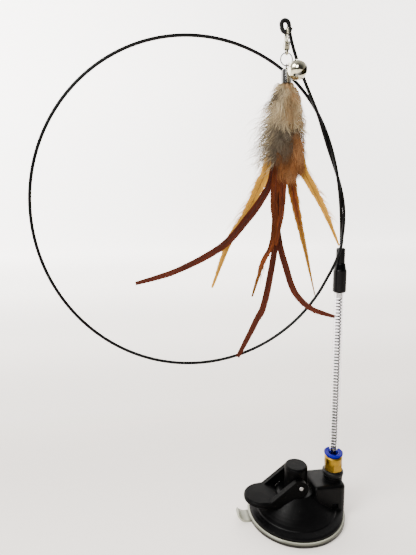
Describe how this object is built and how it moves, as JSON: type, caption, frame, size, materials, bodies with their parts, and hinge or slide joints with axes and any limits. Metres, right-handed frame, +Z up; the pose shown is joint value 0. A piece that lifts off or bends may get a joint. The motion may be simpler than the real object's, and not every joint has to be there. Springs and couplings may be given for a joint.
{
  "type": "cat teaser wand",
  "caption": "Cat teaser wand: lever-lock suction base, clear spring-cored tube, looped spring rod, and a clasp with bell and feather lure.",
  "frame": {"origin": "centre of the suction disc's underside, on the surface it holds to", "axes": "+Z up along the stem and the wand; -X towards the lock lever and pull tab, +X towards the tower block and wand; -Y towards the side on which the lure hangs"},
  "size_m": [0.1887, 0.0648, 0.3058],
  "materials": {
    "gel": "translucent, soft",
    "black_plastic": "satin moulded",
    "bright_steel": "polished",
    "black_rubber": "matt",
    "brass": "machined",
    "blue_plastic": "gloss",
    "clear_plastic": "clear",
    "spring_steel": "drawn wire",
    "gloss_black": "gloss",
    "rod_black": "thin black coat",
    "nickel": "plated",
    "chrome": "polished",
    "glue": "set glue",
    "down_grey": "soft down",
    "down_beige": "soft down",
    "down_tan": "soft down",
    "feather_yellow": "feather",
    "feather_brown": "feather",
    "feather_rust": "feather",
    "feather_red": "feather",
    "feather_orange": "feather"
  },
  "bodies": {
    "base": {"housing": "black_plastic", "gel_pad": "gel", "gel_membrane": "gel", "seat_ring": "black_rubber", "fitting_body": "brass", "tube_seal": "black_rubber", "grab_ring": "spring_steel", "collet_sleeve": "brass"},
    "stem": {"suction_stem": "black_plastic"},
    "lever": {"lock_lever": "black_plastic", "lever_pin": "bright_steel"},
    "collar": {"release_collar": "blue_plastic"},
    "wand": {"clear_tube": "clear_plastic", "tube_spring": "spring_steel", "wire_plug": "spring_steel", "boot": "gloss_black", "spring_rod": "rod_black", "eye_sleeve": "black_rubber"},
    "clasp": {"clasp_body": "nickel", "clasp_pin": "nickel", "clasp_spring": "spring_steel"},
    "gate": {"clasp_gate": "nickel"},
    "ring": {"jump_ring": "nickel"},
    "bell": {"bell_shell": "nickel"},
    "pellet": {"bell_pellet": "spring_steel"},
    "lure": {"ferrule": "chrome", "quill_plug": "glue", "plume_left": "down_grey", "plume_middle": "down_beige", "plume_right": "down_tan", "feather_yellow_left": "feather_yellow", "feather_brown_left": "feather_brown", "feather_rust_centre": "feather_rust", "feather_rust_short": "feather_rust", "feather_red_long": "feather_red", "feather_red_right": "feather_red", "feather_thin_orange": "feather_orange", "feather_yellow_right": "feather_yellow"}
  },
  "joints": [
    {"name": "stem_slide", "type": "slide", "parent": "base", "child": "stem", "axis": [0, 0, 1], "range_m": [-0.002, 0], "deforming": ["gel_membrane"]},
    {"name": "lever_hinge", "type": "hinge", "parent": "stem", "child": "lever", "pos_m": [0, 0, 0.0252], "axis": [0, 1, 0], "range_deg": [0, 100]},
    {"name": "collar_press", "type": "slide", "parent": "base", "child": "collar", "axis": [0, 0, 1], "range_m": [-0.0012, 0], "stiffness_N_per_m": 100},
    {"name": "wand_swivel", "type": "hinge", "parent": "base", "child": "wand", "pos_m": [0.026, 0, 0.03045], "axis": [0, 0, 1], "continuous": true},
    {"name": "clasp_swing", "type": "hinge", "parent": "wand", "child": "clasp", "pos_m": [-0.01258, -0.008, 0.29848], "axis": [1, 0, 0], "range_deg": [-60, 1.5]},
    {"name": "gate_hinge", "type": "hinge", "parent": "clasp", "child": "gate", "pos_m": [-0.01258, -0.00873, 0.29228], "axis": [1, 0, 0], "range_deg": [-25, 0], "stiffness_Nm_per_rad": 0.0001},
    {"name": "ring_swing", "type": "hinge", "parent": "clasp", "child": "ring", "pos_m": [-0.01258, -0.008, 0.28819], "axis": [0, 1, 0], "range_deg": [-20, 20]},
    {"name": "lure_swing", "type": "hinge", "parent": "ring", "child": "lure", "pos_m": [-0.01258, -0.008, 0.28159], "axis": [1, 0, 0], "range_deg": [-5, 1.5]},
    {"name": "bell_swing", "type": "hinge", "parent": "ring", "child": "bell", "pos_m": [-0.01113, -0.008, 0.28193], "axis": [0.8988, 0, 0.4384], "range_deg": [-40, 0]},
    {"name": "pellet_rattle", "type": "slide", "parent": "bell", "child": "pellet", "axis": [0, 0, 1], "range_m": [0, 0.0044]}
  ],
  "couplings": [
    {"joint": "stem_slide", "follows": "lever_hinge", "m_per_rad": -0.0011459}
  ]
}
